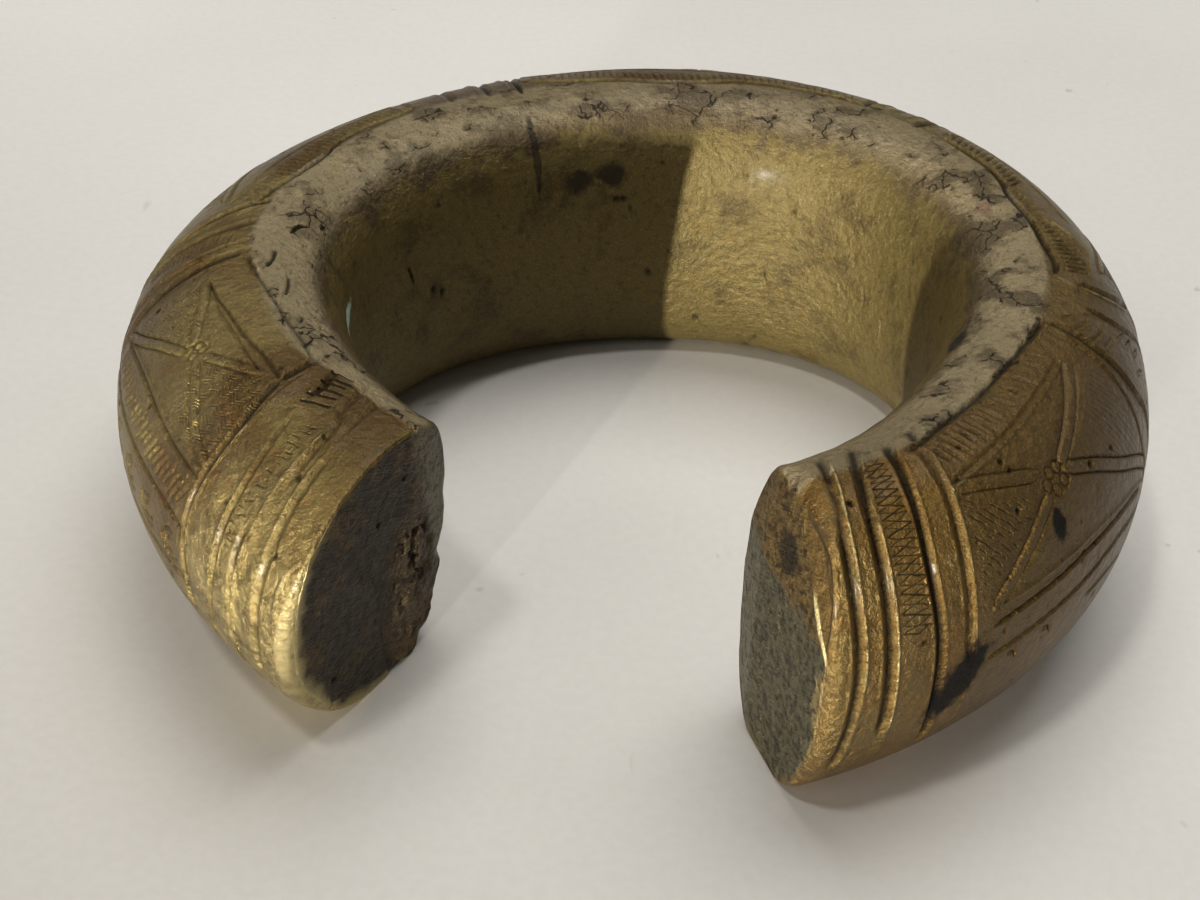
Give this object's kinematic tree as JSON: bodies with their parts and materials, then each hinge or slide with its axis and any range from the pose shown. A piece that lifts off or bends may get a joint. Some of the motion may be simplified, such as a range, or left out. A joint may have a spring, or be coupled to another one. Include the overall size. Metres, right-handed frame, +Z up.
{
  "type": "manilla",
  "caption": "Solid cast brass manilla: an open arm ring of thick D-shaped section with cut, bevelled tips, worn flat underneath to lie on a surface.",
  "frame": {"origin": "under the middle of the ring's overall box, on the plane of its flat foot", "axes": "+Z up, square to the foot; the gap between the tips opens towards -Y; +X to the right when looking in through the gap"},
  "size_m": [0.1118, 0.1018, 0.0349],
  "materials": {
    "aged_brass": "old cast brass with an olive-brown patina, worn brighter on the ridges"
  },
  "bodies": {
    "root": {"manilla_casting": "aged_brass"}
  },
  "joints": []
}
